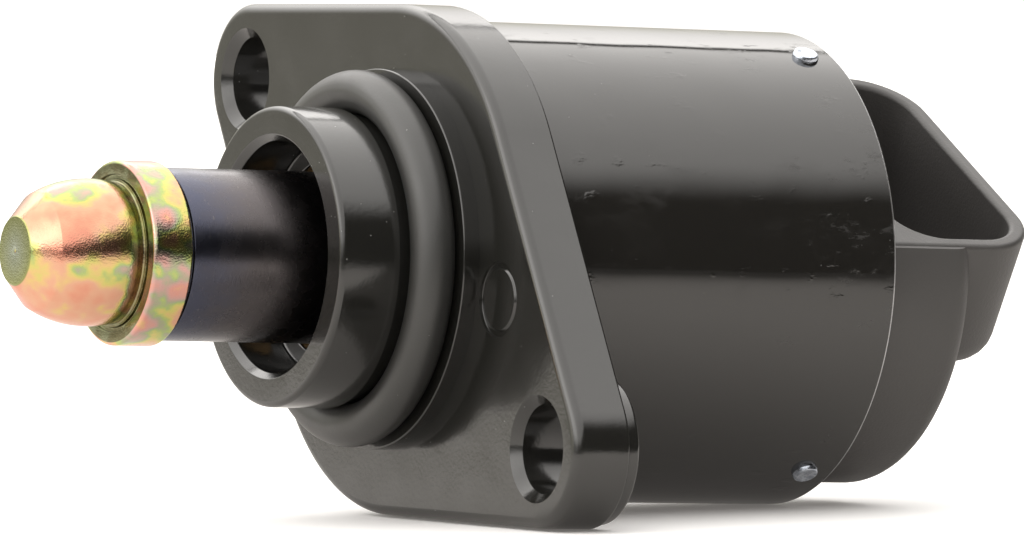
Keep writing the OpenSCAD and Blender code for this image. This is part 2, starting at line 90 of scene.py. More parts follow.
spigot_front, boss_back = span("flange_housing")
tip_front, plug_back = span("pintle_head")
sleeve_front, sleeve_back = span("plunger_sleeve")
can_front, can_back = span("motor_can")
cover_front, socket_back = span("connector_housing")
flange_t = can_front
can_r = span("motor_can", 1)[1]
sleeve_r = span("plunger_sleeve", 1)[1]
collar_r = span("pintle_head", 1)[1]
print("the can runs from", round(can_front, 2), "to", round(can_back, 2), "with radius", round(can_r, 2))

# %% Name the walls and gaps that pieces share
FIT = 0.03
collar_len = 3.2
neck_len = 0.4
sleeve_wall = 1.0
can_wall = 0.8
can_gap = 0.05
collar_front = sleeve_front - collar_len
dome_back = collar_front - neck_len
inside_can_r = can_r - can_wall - can_gap
print("radius inside the can", round(inside_can_r, 2), "and the collar's front", round(collar_front, 2))

# %% Work out the roll from the flange
flange_r = 19.1
ear_r = 5.8
hole_offset = 27.0
roll = math.asin((flange_r - ear_r) / hole_offset)
rolled = Matrix.Rotation(roll, 4, "X")
print("rolled by", round(math.degrees(roll), 2), "degrees")

# %% [markdown]
# ## The camera
#
# The photograph was taken with a long lens from the pintle's side, almost level with the valve. Such a
# camera is described by where it stands and by three axes: right, up and back. They were found by matching
# circles of the valve, such as the rims of the spigot and the holes, with their ovals in the picture.
# Giving the camera a matrix avoids guessing angles one by one.

# %% Set up the camera
PICTURE_WIDTH = 1024
SENSOR_WIDTH = 36.0
focal_pixels = 10171.5
camera_place = Vector((-363.82, -666.91, 6.81)) * MM
camera_right = Vector((0.871679, -0.489264, 0.028212))
camera_up = Vector((-0.019916, 0.022154, 0.999556))
camera_back = camera_right.cross(camera_up)

camera_data = bpy.data.cameras.new("camera")
camera_data.sensor_width = SENSOR_WIDTH
camera_data.lens = focal_pixels * SENSOR_WIDTH / PICTURE_WIDTH
camera_data.clip_start = 0.05
camera_data.clip_end = 50.0
camera = bpy.data.objects.new("camera", camera_data)
bpy.context.scene.collection.objects.link(camera)
camera.matrix_world = Matrix.Translation(camera_place) @ Matrix(
    (camera_right, camera_up, camera_back)
).transposed().to_4x4()
bpy.context.scene.camera = camera
print("lens", round(camera_data.lens, 1), "mm at", round(camera_place.length / MM), "mm")

# %% [markdown]
# ## Shader maths as ordinary sums
#
# A procedural finish is a small calculation for each point of a surface: how far along the axis it is, how
# rough, how dusty. Blender does such sums with Math nodes, which are slow to wire by hand. The class below
# wraps a node's output, so that `1 - mask` or `width < 0.2` adds the node by itself. Every other node comes
# from one method, `node`, which takes the kind of node, its settings and what goes into its sockets.

# %% Wrap a socket so that it can be used in sums
class Wire:
    """A node's output in a shader. Sums and comparisons with it add Math nodes."""

    def __init__(self, tree, output=None):
        self.tree = tree
        self.output = output

    def node(self, kind, settings=(), sockets=(), output=0):
        """Adds a node: its settings first, then a value or a link for each named or numbered socket."""
        made = self.tree.nodes.new(kind)
        for name, value in dict(settings).items():
            if name == "stops":
                set_stops(made.color_ramp, value)
            else:
                setattr(made, name, value)
        for key, value in dict(sockets).items():
            if isinstance(value, Wire):
                self.tree.links.new(value.output, made.inputs[key])
            else:
                made.inputs[key].default_value = value
        return Wire(self.tree, made.outputs[output])

    def sum(self, operation, first, second=0.0):
        """One Math node."""
        return self.node("ShaderNodeMath", {"operation": operation}, {0: first, 1: second})

    def __add__(self, other):
        return self.sum("ADD", self, other)

    def __radd__(self, other):
        return self.sum("ADD", other, self)

    def __sub__(self, other):
        return self.sum("SUBTRACT", self, other)

    def __rsub__(self, other):
        return self.sum("SUBTRACT", other, self)

    def __mul__(self, other):
        return self.sum("MULTIPLY", self, other)

    def __rmul__(self, other):
        return self.sum("MULTIPLY", other, self)

    def __truediv__(self, other):
        return self.sum("DIVIDE", self, other)

    def __rtruediv__(self, other):
        return self.sum("DIVIDE", other, self)

    def __lt__(self, other):
        return self.sum("LESS_THAN", self, other)

    def __gt__(self, other):
        return self.sum("GREATER_THAN", self, other)

    def clamped(self):
        """The value held between 0 and 1."""
        return self.node("ShaderNodeClamp", {}, {0: self})

    def step(self, low, high):
        """A soft step: 0 below low, 1 above high."""
        sockets = {"Value": self, "From Min": low, "From Max": high}
        return self.node("ShaderNodeMapRange", {"interpolation_type": "SMOOTHSTEP"}, sockets)


def set_stops(ramp, stops):
    """Gives a colour ramp its stops, each as (position, (red, green, blue))."""
    while len(ramp.elements) > 1:
        ramp.elements.remove(ramp.elements[-1])
    for number, (position, colour) in enumerate(stops):
        stop = ramp.elements[0] if number == 0 else ramp.elements.new(position)
        stop.position = position
        stop.color = (*colour, 1.0)


def mixed(factor, first, second):
    """One colour going over into another as factor goes from 0 to 1."""
    FIRST_COLOUR, SECOND_COLOUR, MIXED_COLOUR = 6, 7, 2
    sockets = {0: factor}
    for key, colour in ((FIRST_COLOUR, first), (SECOND_COLOUR, second)):
        sockets[key] = colour if isinstance(colour, Wire) else (*colour, 1.0)
    return factor.node("ShaderNodeMix", {"data_type": "RGBA"}, sockets, MIXED_COLOUR)


print("shader sums are ready")

# %% [markdown]
# ## Patterns that several finishes share
#
# A place on the surface comes from the Object coordinate, which moves with the piece and is here turned
# into millimetres, so that every size below can be compared with the real thing. Noise gives soft
# unevenness. Specks are the centres of Voronoi cells: only some cells get one, and each is a fraction of a
# millimetre wide.

# %% Make the shared patterns
finishes = {}


def new_finish(name, **constants):
    """A material with constant sockets set, the wire that starts its shader, and its surface node."""
    material = bpy.data.materials.new(name)
    finishes[name] = material
    material.use_nodes = True
    surface = material.node_tree.nodes["Principled BSDF"]
    for socket, value in constants.items():
        surface.inputs[socket.replace("_", " ")].default_value = value
    return material, Wire(material.node_tree), surface


def feed(surface, socket, wire):
    """Links a wire to a socket of the surface."""
    wire.tree.links.new(wire.output, surface.inputs[socket])


def in_mm(start, stretch=(1.0, 1.0, 1.0)):
    """The place on the piece, in millimetres, stretched along the axes."""
    place = start.node("ShaderNodeTexCoord", output="Object")
    factors = tuple(value / MM for value in stretch)
    return start.node("ShaderNodeVectorMath", {"operation": "MULTIPLY"}, {0: place, 1: factors})


def parts(place):
    """The three numbers of a place."""
    return [place.node("ShaderNodeSeparateXYZ", {}, {0: place}, axis) for axis in range(3)]


def noise(place, size, detail=4.0, rough=0.55, seed=0.0):
    """Soft unevenness about size millimetres across, mostly between 0.3 and 0.7."""
    settings = {"noise_dimensions": "4D"}
    sockets = {"Vector": place, "W": seed, "Scale": 1.0 / size, "Detail": detail, "Roughness": rough}
    return place.node("ShaderNodeTexNoise", settings, sockets)


def specks(place, spacing, width, share):
    """Small dots: 1 inside a dot, 0 elsewhere. Share is the part of the cells that hold one."""
    sockets = {"Vector": place, "Scale": 1.0 / spacing}
    distance = place.node("ShaderNodeTexVoronoi", {}, sockets, "Distance")
    chance = parts(place.node("ShaderNodeTexVoronoi", {}, sockets, "Color"))[0]
    return (distance < width / spacing) * (chance < share)


def raised(height, depth, over=None):
    """A normal from a height between 0 and 1 that stands for depth millimetres, on top of another normal."""
    sockets = {"Height": height, "Distance": depth * MM, "Strength": 1.0}
    if over is not None:
        sockets["Normal"] = over
    return height.node("ShaderNodeBump", {}, sockets)


print("patterns are ready")

# %% [markdown]
# ## The black moulding of the flange
#
# The flange and spigot are a glass-filled plastic moulded against a polished steel, so they are black and
# almost glossy, with a very slight waviness. Lint and dust lie on them as pale specks, as in any close
# photograph of black plastic. The waviness is a shallow bump, and the dust is a mask that lightens the
# colour and dulls the gloss.

# %% Finish: gloss black moulding
DUST = (0.30, 0.30, 0.29)


def housing_finish():
    black = (0.0150, 0.0148, 0.0130)
    material, start, surface = new_finish("housing_plastic", IOR=1.82)
    place = in_mm(start)
    dust = specks(place, spacing=2.6, width=0.055, share=0.5)
    dust = dust + specks(place, spacing=0.9, width=0.032, share=0.4)
    cloud = noise(place, size=6.0, detail=5.0, seed=1.0)
    feed(surface, "Base Color", mixed(dust.clamped(), black, DUST))
    feed(surface, "Roughness", (0.06 + cloud * 0.18 + dust * 0.4).clamped())
    fine = raised(noise(place, size=0.35, detail=2.0, seed=2.0), depth=0.006)
    feed(surface, "Normal", raised(noise(place, size=5.0, detail=1.0, seed=3.0), depth=0.05, over=fine))
    return material


housing_plastic = housing_finish()
print("made", housing_plastic.name)

# %% [markdown]
# ## Rubber
#
# The sealing ring is satin black rubber. It is matt enough to show a broad soft highlight, and its skin has
# a fine grain from the mould.

# %% Finish: satin rubber
def rubber_finish():
    black = (0.022, 0.022, 0.020)
    material, start, surface = new_finish("ring_rubber", IOR=1.8)
    place = in_mm(start)
    dust = specks(place, spacing=1.4, width=0.045, share=0.45)
    dust = dust + specks(place, spacing=0.7, width=0.028, share=0.4)
    feed(surface, "Base Color", mixed(dust.clamped(), black, DUST))
    feed(surface, "Roughness", 0.34 + noise(place, size=2.5, seed=4.0) * 0.2)
    feed(surface, "Normal", raised(noise(place, size=0.18, detail=3.0, seed=5.0), depth=0.012))
    return material


ring_rubber = rubber_finish()
print("made", ring_rubber.name)

# %% [markdown]
# ## Yellow-passivated zinc
#
# The pintle is steel, plated with zinc and dipped in a chromate bath. The film that this leaves is so thin
# that its colour comes from its thickness: gold, pink and green run into one another in soft clouds. Two
# sizes of noise stand for that thickness, and a colour ramp turns it into a colour. As on the real piece,
# the back of the dome and the collar are shifted towards the far end of the ramp, and the underside is
# shifted towards its red beginning. The top is painted darker, as painted shade against the bright roof
# light. The collar's front face and the flat tip have tones of their own.

# %% Finish: yellow-passivated zinc
FILM_COLOURS = [
    (0.00, (0.84, 0.34, 0.24)),
    (0.18, (0.88, 0.42, 0.28)),
    (0.34, (0.88, 0.50, 0.33)),
    (0.44, (0.88, 0.62, 0.27)),
    (0.52, (0.76, 0.69, 0.22)),
    (0.59, (0.50, 0.62, 0.24)),
    (0.66, (0.50, 0.50, 0.34)),
    (0.76, (0.72, 0.45, 0.40)),
    (0.88, (0.86, 0.42, 0.34)),
    (1.00, (0.88, 0.58, 0.27)),
]


def zinc_film(along, level, clouds, patches):
    """The film's colour, darkened on top as painted shade: level is 1 on top of the pintle and -1 below it.
    """
    dark = (0.06, 0.04, 0.01)
    thickness = 0.46 + (clouds - 0.5) * 1.8 + (patches - 0.5) * 0.6
    rear = along.step(dome_back - 1.2, dome_back - 0.1) * 0.24
    below = (0.0 - level).step(0.25, 0.9) * 0.22
    film = (thickness + rear - below).clamped()
    colours = film.node("ShaderNodeValToRGB", {"stops": FILM_COLOURS}, {"Fac": film})
    # painted shade: towards the top the film's colour is mixed with dark, to tone down the bright roof light
    return mixed(level.step(-0.1, 0.9) * 0.38, colours, dark)


def zinc_finish():
    collar_brown = (0.18, 0.16, 0.07)
    collar_green = (0.26, 0.27, 0.15)
    tip_grey = (0.42, 0.46, 0.38)
    tip_olive = (0.34, 0.36, 0.14)
    material, start, surface = new_finish("yellow_zinc", Metallic=1.0)
    place = in_mm(start)
    along, across, height = parts(place)
    radius = start.sum("SQRT", across * across + height * height + 0.01)
    clouds = noise(in_mm(start, (1.0, 1.0, 1.3)), size=4.0, detail=2.0, rough=0.5, seed=6.5)
    patches = noise(place, size=1.3, detail=3.0, rough=0.5, seed=7.0)
    film = zinc_film(along, height / radius, clouds, patches)
    on_collar = along.step(collar_front - 0.3, collar_front) * (radius < collar_r - 0.25)
    collar_tone = mixed(patches.step(0.4, 0.6), collar_brown, collar_green)
    on_tip = along.step(tip_front + 0.12, tip_front + 0.04)
    tip_tone = mixed((radius * 0.4).clamped(), tip_grey, tip_olive)
    feed(surface, "Base Color", mixed(on_tip, mixed(on_collar, film, collar_tone), tip_tone))
    feed(surface, "Roughness", (0.09 + clouds * 0.16).clamped())
    fine = raised(noise(place, size=0.14, detail=2.0, seed=8.0), depth=0.018)
    feed(surface, "Normal", raised(noise(place, size=1.6, detail=2.0, seed=9.0), depth=0.03, over=fine))
    return material


yellow_zinc = zinc_finish()
print("made", yellow_zinc.name)

# %% [markdown]
# ## Blued steel
#
# The sleeve behind the pintle is steel with a dark heat-blued skin. It is violet-blue next to the collar
# and goes over into a brown grey, with fine speckles.

# %% Finish: blued steel
heat_run = 5.8


def blued_finish():
    blue = (0.085, 0.090, 0.125)
    brown = (0.112, 0.102, 0.104)
    bright = (0.26, 0.23, 0.22)
    material, start, surface = new_finish("blued_steel", Metallic=1.0)
    place = in_mm(start)
    along = parts(place)[0]
    clouds = noise(place, size=1.4, detail=4.0, seed=10.0)
    grain = noise(in_mm(start, (1.0, 0.3, 0.3)), size=0.12, detail=2.0, seed=11.0)
    warm = (along + (clouds - 0.5) * 4.0).step(sleeve_front, sleeve_front + heat_run)
    skin = mixed(warm, blue, brown)
    marks = specks(place, spacing=0.9, width=0.035, share=0.5) + grain.step(0.60, 0.85) * 0.5
    feed(surface, "Base Color", mixed(marks.clamped(), skin, bright))
    feed(surface, "Roughness", 0.18 + clouds * 0.18)
    feed(surface, "Normal", raised(grain, depth=0.006))
    return material


blued_steel = blued_finish()
print("made", blued_steel.name)

# %% [markdown]
# ## Gloss paint with smudges
#
# The can is drawn steel with black gloss paint. Handling has left dull smears, the paint has small dents,
# and scratches lie towards the rear edge. The smears and scratches are noise stretched along the can. Where
# they lie, the gloss is duller, and the scratches and the dust are also a little lighter. The cut rear edge
# shows bare metal.

# %% Finish: gloss paint
bare_edge = 0.20
scratches_from = can_back - 15.6
scratches_to = can_back - 2.6


def can_finish():
    black = (0.0160, 0.0150, 0.0132)
    grey = (0.10, 0.10, 0.10)
    steel = (0.62, 0.62, 0.63)
    material, start, surface = new_finish("can_paint", IOR=1.80)
    place = in_mm(start)
    along = parts(place)[0]
    smear = noise(in_mm(start, (0.5, 1.0, 1.0)), size=3.2, detail=7.0, rough=0.68, seed=12.0)
    lines = noise(in_mm(start, (0.35, 1.0, 1.0)), size=0.8, detail=6.0, rough=0.7, seed=13.0)
    scratched = lines.step(0.52, 0.62) * along.step(scratches_from, scratches_to) * smear.step(0.46, 0.58)
    dust = specks(place, spacing=2.2, width=0.05, share=0.35)
    dust = dust + specks(place, spacing=1.0, width=0.03, share=0.25)
    paint = mixed((scratched * 0.10 + dust).clamped(), black, grey)
    bare = along.step(can_back - bare_edge, can_back - 0.6 * bare_edge)
    feed(surface, "Base Color", mixed(bare, paint, steel))
    feed(surface, "Metallic", bare)
    rough = 0.07 + smear.step(0.52, 0.66) * 0.14
    feed(surface, "Roughness", (rough + scratched * 0.26 + dust * 0.3 + bare * 0.25).clamped())
    hollows = noise(in_mm(start, (0.6, 1.0, 1.0)), size=1.3, detail=4.0, seed=14.0)
    dents = raised(hollows.step(0.60, 0.74), depth=0.014)
    feed(surface, "Normal", raised(noise(place, size=7.0, detail=1.0, seed=15.0), depth=0.06, over=dents))
    return material


can_paint = can_finish()
print("made", can_paint.name)

# %% [markdown]
# ## The matt moulding of the connector
#
# The rear cover comes from a mould with a spark-eroded texture: thousands of tiny pits that scatter the
# light, so the same black plastic looks grey and flat here.

# %% Finish: matt black moulding
def connector_finish():
    flat_black = (0.050, 0.047, 0.045)
    material, start, surface = new_finish("connector_plastic", IOR=1.75)
    place = in_mm(start)
    pits = noise(place, size=0.22, detail=3.0, rough=0.6, seed=16.0)
    cloud = noise(place, size=5.0, detail=3.0, seed=17.0)
    dust = specks(place, spacing=2.0, width=0.04, share=0.3)
    feed(surface, "Base Color", mixed(dust.clamped(), flat_black, DUST))
    feed(surface, "Roughness", 0.46 + cloud * 0.16)
    feed(surface, "Normal", raised(pits, depth=0.03))
    return material


connector_plastic = connector_finish()
print("made", connector_plastic.name)

# %% [markdown]
# ## Metals
#
# The other metals differ only in colour, gloss and grain, so one recipe makes them all. The grain is noise
# that is short along the axis and long across it, like the marks of a lathe, or even in all directions for
# sintered, drawn and pressed pieces. The magnet's ferrite is a ceramic with a sheen, so it is only partly
# metallic.

# %% Finish: turned, drawn and sintered metals
TURNED = (1.0, 0.12, 0.12)
EVEN = (1.0, 1.0, 1.0)


def metal_finish(name, colour, dark, rough, grain, depth, stretch=EVEN, metallic=1.0):
    """A metal: its colour, the darker tone in its grain, its roughness, and the grain's width and depth."""
    _, start, surface = new_finish(name, Metallic=metallic)
    marks = noise(in_mm(start, stretch), size=grain, detail=3.0, seed=18.0)
    cloud = noise(in_mm(start), size=4.0, detail=3.0, seed=19.0)
    feed(surface, "Base Color", mixed(marks.step(0.35, 0.65), dark, colour))
    feed(surface, "Roughness", (rough + (cloud - 0.5) * 0.2).clamped())
    feed(surface, "Normal", raised(marks, depth))


metal_finish(
    "bronze", colour=(0.62, 0.42, 0.20), dark=(0.34, 0.21, 0.10), rough=0.42, grain=0.22, depth=0.02)
metal_finish(
    "bright_steel", colour=(0.62, 0.62, 0.64), dark=(0.46, 0.46, 0.48), rough=0.26, grain=0.14, depth=0.006,
    stretch=TURNED)
metal_finish(
    "spring_steel", colour=(0.60, 0.61, 0.63), dark=(0.42, 0.43, 0.45), rough=0.24, grain=0.10, depth=0.004)
metal_finish(
    "bearing_steel", colour=(0.76, 0.76, 0.78), dark=(0.66, 0.66, 0.68), rough=0.12, grain=0.10, depth=0.002,
    stretch=TURNED)
metal_finish(
    "pole_steel", colour=(0.54, 0.55, 0.57), dark=(0.38, 0.38, 0.40), rough=0.36, grain=0.30, depth=0.008)
metal_finish(
    "pin_steel", colour=(0.74, 0.79, 0.88), dark=(0.42, 0.46, 0.52), rough=0.22, grain=0.35, depth=0.03)
metal_finish(
    "terminal_brass", colour=(0.72, 0.64, 0.46), dark=(0.60, 0.52, 0.36), rough=0.25, grain=0.20,
    depth=0.004)
metal_finish(
    "magnet_ferrite", colour=(0.055, 0.055, 0.06), dark=(0.02, 0.02, 0.022), rough=0.62, grain=0.20,
    depth=0.02, metallic=0.3)
metal_finish(
    "copper_wire", colour=(0.62, 0.24, 0.09), dark=(0.40, 0.13, 0.05), rough=0.25, grain=0.25, depth=0.003,
    stretch=TURNED)
print("made the metals, in all", len(finishes), "finishes")

# %% [markdown]
# ## Natural plastic
#
# The bobbins and the rotor's hub are unpigmented nylon: cream, with soft cloudy tones.

# %% Finish: natural nylon
def nylon_finish():
    cream = (0.70, 0.64, 0.50)
    pale_cream = (0.80, 0.76, 0.64)
    material, start, surface = new_finish("bobbin_plastic", IOR=1.53)
    place = in_mm(start)
    cloud = noise(place, size=3.0, detail=4.0, seed=20.0)
    feed(surface, "Base Color", mixed(cloud.step(0.3, 0.7), cream, pale_cream))
    feed(surface, "Roughness", 0.42 + cloud * 0.15)
    feed(surface, "Normal", raised(noise(place, size=0.3, detail=2.0, seed=21.0), depth=0.008))
    return material


bobbin_plastic = nylon_finish()
print("made", bobbin_plastic.name)

# %% [markdown]
# ## Building meshes from rings
#
# Nearly every piece of a valve is turned or moulded: its surface is a stack of closed outlines. The small
# class below keeps such outlines as rings of points and joins one ring to the next. A flat face with holes
# in it is filled between its rims. Corners of a profile are rounded first, because a real edge always has a
# radius, and the thin bright line that it catches is what makes an edge look real.

# %% Draw profiles and rings
ROUND = 192
ON_AXIS = 1e-6


def circle(radius, count=ROUND, centre=(0.0, 0.0)):
    """Points of a circle as (y, z), starting at the top."""
    angles = [2.0 * math.pi * k / count for k in range(count)]
    return [(centre[0] + radius * math.sin(a), centre[1] + radius * math.cos(a)) for a in angles]


def rounded(corners, closed=False, steps=6):
    """Rounds a line of (place, radius, rounding) corners with arcs. Returns its (place, radius) points."""
    points = []
    last = len(corners) - 1
    for number, (place, radius, rounding) in enumerate(corners):
        here = Vector((place, radius))
        if rounding == 0 or (not closed and number in (0, last)):
            points.append(tuple(here))
            continue
        before = (Vector(corners[number - 1][:2]) - here).normalized()
        after = (Vector(corners[(number + 1) % len(corners)][:2]) - here).normalized()
        half = before.angle(after) / 2.0
        centre = here + (before + after).normalized() * rounding / math.sin(half)
        first = here + before * rounding / math.tan(half) - centre
        second = here + after * rounding / math.tan(half) - centre
        turn = first.angle(second)
        for step in range(steps + 1):
            ahead = math.sin(step / steps * turn)
            behind = math.sin((1 - step / steps) * turn)
            points.append(tuple(centre + (first * behind + second * ahead) / math.sin(turn)))
    return points


class Shape:
    """A mesh that is put together from rings of points, in millimetres."""

    def __init__(self):
        self.mesh = bmesh.new()

    def ring(self, points, place):
        """A closed outline, given as (y, z) points, at a place along the axis."""
        return [self.mesh.verts.new((place, y, z)) for y, z in points]

    def join(self, first, second):
        """Skin between two rings, or between a ring and a single point."""
        longest = max(len(first), len(second))
        for k in range(longest):
            n = (k + 1) % longest
            if len(first) == 1:
                self.mesh.faces.new((first[0], second[n], second[k]))
            elif len(second) == 1:
                self.mesh.faces.new((first[k], first[n], second[0]))
            else:
                self.mesh.faces.new((first[k], first[n], second[n], second[k]))

    def stack(self, rings, closed=False):
        """Joins each ring to the next, and the last to the first where the stack is closed."""
        for first, second in zip(rings, rings[1:]):
            self.join(first, second)
        if closed:
            self.join(rings[-1], rings[0])
        return rings

    def turn(self, profile, closed=False, count=ROUND, centre=(0.0, 0.0)):
        """Turns a profile of (place, radius) points about the axis."""
        rings = []
        for place, radius in profile:
            outline = [centre] if radius < ON_AXIS else circle(radius, count, centre)
            rings.append(self.ring(outline, place))
        return self.stack(rings, closed)

    def cover(self, *rims):
        """A flat face inside the first rim, with the other rims as its holes."""
        edges = []
        for rim in rims:
            for pair in zip(rim, rim[-1:] + rim[:-1]):
                edges.append(self.mesh.edges.get(pair) or self.mesh.edges.new(pair))
        bmesh.ops.triangle_fill(self.mesh, use_beauty=True, use_dissolve=False, edges=edges)

    def raw(self, name, turned=Matrix()):
        """The mesh in millimetres, turned into place."""
        self.mesh.transform(turned)
        self.mesh.normal_update()
        bmesh.ops.recalc_face_normals(self.mesh, faces=self.mesh.faces)
        data = bpy.data.meshes.new(name)
        self.mesh.to_mesh(data)
        self.mesh.free()
        return data

    def finished(self, name, material, turned=Matrix()):
        """The object: turned, in metres, with its finish."""
        return placed(name, self.raw(name), material, turned)


SHARP = math.radians(32)


def placed(name, data, material, turned=Matrix()):
    """Puts a mesh in the scene: turned, in metres, smooth apart from its sharp edges, with its finish."""
    data.transform(Matrix.Scale(MM, 4) @ turned)
    checked = bmesh.new()
    checked.from_mesh(data)
    open_edges = sum(1 for edge in checked.edges if not edge.is_manifold)
    checked.free()
    print(name, "has", len(data.polygons), "faces and", open_edges, "open edges")
    for polygon in data.polygons:
        polygon.use_smooth = True
    data.set_sharp_from_angle(angle=SHARP)
    data.materials.append(material)
    piece = bpy.data.objects.new(name, data)
    bpy.context.scene.collection.objects.link(piece)
    shading = piece.modifiers.new("even shading", "WEIGHTED_NORMAL")
    shading.keep_sharp = True
    return piece


print("ring tools are ready")

# %% [markdown]
# ## The flange and spigot
#
# One moulding carries everything: a plate with two ears, the spigot that enters the throttle body, and a
# boss that enters the can. It is drawn as one closed skin. The plate's outline runs round three circles,
# two ears and the round middle, along their common tangents. The same outline with smaller circles is its
# inward offset, so a stack of such outlines gives an even rounded edge.

# %% Draw the flange's outline
ARC = 24
SIDE = 12


def flange_outline(inset):
    """The plate's outline, moved inwards, as (y, z) points in the upright position."""
    middle = flange_r - inset
    ear = ear_r - inset
    lean = math.acos((flange_r - ear_r) / hole_offset)
    spans = [
        (0.0, 0.0, middle, lean, math.pi - lean),
        (-hole_offset, 0.0, ear, math.pi - lean, math.pi + lean),
        (0.0, 0.0, middle, math.pi + lean, 2 * math.pi - lean),
        (hole_offset, 0.0, ear, -lean, lean),
    ]
    points = []
    for y, z, radius, first, last in spans:
        for step in range(ARC + 1):
            angle = first + (last - first) * step / ARC
            points.append((y + radius * math.cos(angle), z + radius * math.sin(angle)))
    full = []
    for number, point in enumerate(points):
        full.append(point)
        if number % (ARC + 1) == ARC:
            after = points[(number + 1) % len(points)]
            for step in range(1, SIDE):
                share = step / SIDE
                full.append(tuple(a + (b - a) * share for a, b in zip(point, after)))
    return full


print("outline of", len(flange_outline(0.0)), "points")

# %% [markdown]
# The front edge of the plate has a generous radius and the rear edge a small one. The holes have a chamfer
# that catches the light as a bright oval ring. A round mark, left by the pin that pushed the moulding out
# of its mould, lies beside the spigot.

# %% Name the sizes of the flange and spigot
edge_r = 0.8
rear_edge_r = 0.25
hole_r = 3.25
chamfer = 0.7
ear_pad = 1.0
ear_pad_r = ear_r - 0.3
ring_front, ring_back = span("spigot_o_ring")
ring_r = span("spigot_o_ring", 1)[1]
section_r = (ring_back - ring_front) / 2
ring_seat_r = ring_r - 2 * section_r - FIT
step_r = ring_r + 0.15
step_height = 1.3
seat_front = ring_front - 0.3
spigot_r = 11.2
pocket_r = 8.6
pocket_chamfer = 0.5
lip_place = spigot_front + 4.4
lip_r = sleeve_r + 0.8
bush_place = lip_place + 1.0
seat_r = 8.03
boss_wall = 2.2
core_front = flange_t + 1.5
groove_place = flange_t + 3.0
groove_half = 0.63
groove_r = inside_can_r - 1.21
print("the ring's section has radius", round(section_r, 2), "and its seat", round(ring_seat_r, 2))

# %% Stack the plate's outlines
EDGE_STEPS = 8
REAR_STEPS = 3
shape = Shape()
outlines = []
for step in range(EDGE_STEPS + 1):
    angle = 0.5 * math.pi * step / EDGE_STEPS
    outlines.append((edge_r * (1.0 - math.sin(angle)), edge_r * (1.0 - math.cos(angle))))
for step in range(REAR_STEPS + 1):
    angle = 0.5 * math.pi * step / REAR_STEPS
    inset = rear_edge_r * (1.0 - math.cos(angle))
    outlines.append((inset, flange_t - rear_edge_r * (1.0 - math.sin(angle))))
plate = shape.stack([shape.ring(flange_outline(inset), place) for inset, place in outlines])
print("the plate has", len(plate), "outlines")

# %% Turn the spigot and the boss
spigot = shape.turn(rounded([
    (0.0, step_r, 0.0),
    (-step_height, step_r, 0.12),
    (-step_height, ring_seat_r, 0.2),
    (seat_front, ring_seat_r, 0.1),
    (seat_front, spigot_r, 0.12),
    (spigot_front, spigot_r, 0.45),
    (spigot_front, pocket_r + pocket_chamfer, 0.12),
    (spigot_front + pocket_chamfer, pocket_r, 0.2),
    (lip_place, pocket_r, 0.25),
    (lip_place, lip_r, 0.2),
    (bush_place, lip_r, 0.1),
    (bush_place, seat_r, 0.1),
    (boss_back, seat_r, 0.15),
    (boss_back, seat_r + boss_wall, 0.15),
    (core_front, seat_r + boss_wall, 0.3),
    (core_front, inside_can_r - boss_wall, 0.3),
    (boss_back, inside_can_r - boss_wall, 0.15),
    (boss_back, inside_can_r, 0.3),
    (groove_place + groove_half, inside_can_r, 0.05),
    (groove_place + groove_half, groove_r, 0.15),
    (groove_place - groove_half, groove_r, 0.15),
    (groove_place - groove_half, inside_can_r, 0.05),
    (flange_t, inside_can_r, 0.0),
]))
print("the spigot and boss have", len(spigot), "rings")

# %% Add the ears' holes and the ejector mark, and close the plate
EAR_SIDES = 72
front_rims = [plate[0], spigot[0]]
rear_rims = [plate[-1], spigot[-1]]
for side in (-1, 1):
    ear = rounded([
        (0.0, hole_r + chamfer, 0.0),
        (chamfer, hole_r, 0.1),
        (flange_t + ear_pad, hole_r, 0.15),
        (flange_t + ear_pad, ear_pad_r, 0.35),
        (flange_t, ear_pad_r, 0.0),
    ])
    rings = shape.turn(ear, count=EAR_SIDES, centre=(side * hole_offset, 0.0))
    front_rims.append(rings[0])
    rear_rims.append(rings[-1])

mark_place = (-16.2, 6.2)
mark_r = 2.8
mark_depth = 0.25
mark_taper = 0.04
mark_groove_r = 0.84 * mark_r
mark_middle_r = 0.80 * mark_r
mark_middle_depth = 0.10
mark = rounded([
    (0.0, mark_r, 0.0),
    (mark_depth, mark_r - mark_taper, 0.05),
    (mark_depth, mark_groove_r, 0.05),
    (mark_middle_depth, mark_middle_r, 0.05),
    (mark_middle_depth, 0.0, 0.0),
], steps=3)
front_rims.append(shape.turn(mark, count=EAR_SIDES, centre=mark_place)[0])
shape.cover(*front_rims)
shape.cover(*rear_rims)
flange = shape.finished("flange_moulding", housing_plastic, rolled)
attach(flange, "housing")
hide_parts("flange_housing")

# %% [markdown]
# ## The sealing ring
#
# A rubber ring leans on the step behind the spigot. Its two mould halves leave a hair-thin seam, a line
# that runs round its front.

# %% Build the sealing ring
ring_centre_r = ring_r - section_r
ring_place = (ring_front + ring_back) / 2
seam_height = 0.035
RING_STEPS = 40
SEAM_STEP = 30
profile = []
for step in range(RING_STEPS):
    angle = 2.0 * math.pi * step / RING_STEPS
    radius = section_r + (seam_height if step == SEAM_STEP else 0.0)
    profile.append((ring_place + radius * math.sin(angle), ring_centre_r - radius * math.cos(angle)))
shape = Shape()
shape.turn(profile, closed=True)
o_ring = shape.finished("sealing_ring", ring_rubber)
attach(o_ring, "housing")
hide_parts("spigot_o_ring")

# %% [markdown]
# ## The pintle's head
#
# The head is turned from steel: a flat tip, a short cone, a dome and a collar. The dome is an arc whose
# crest lies near the collar. Each corner has the small radius that plating leaves, and a fine groove is
# turned into the collar's front face.

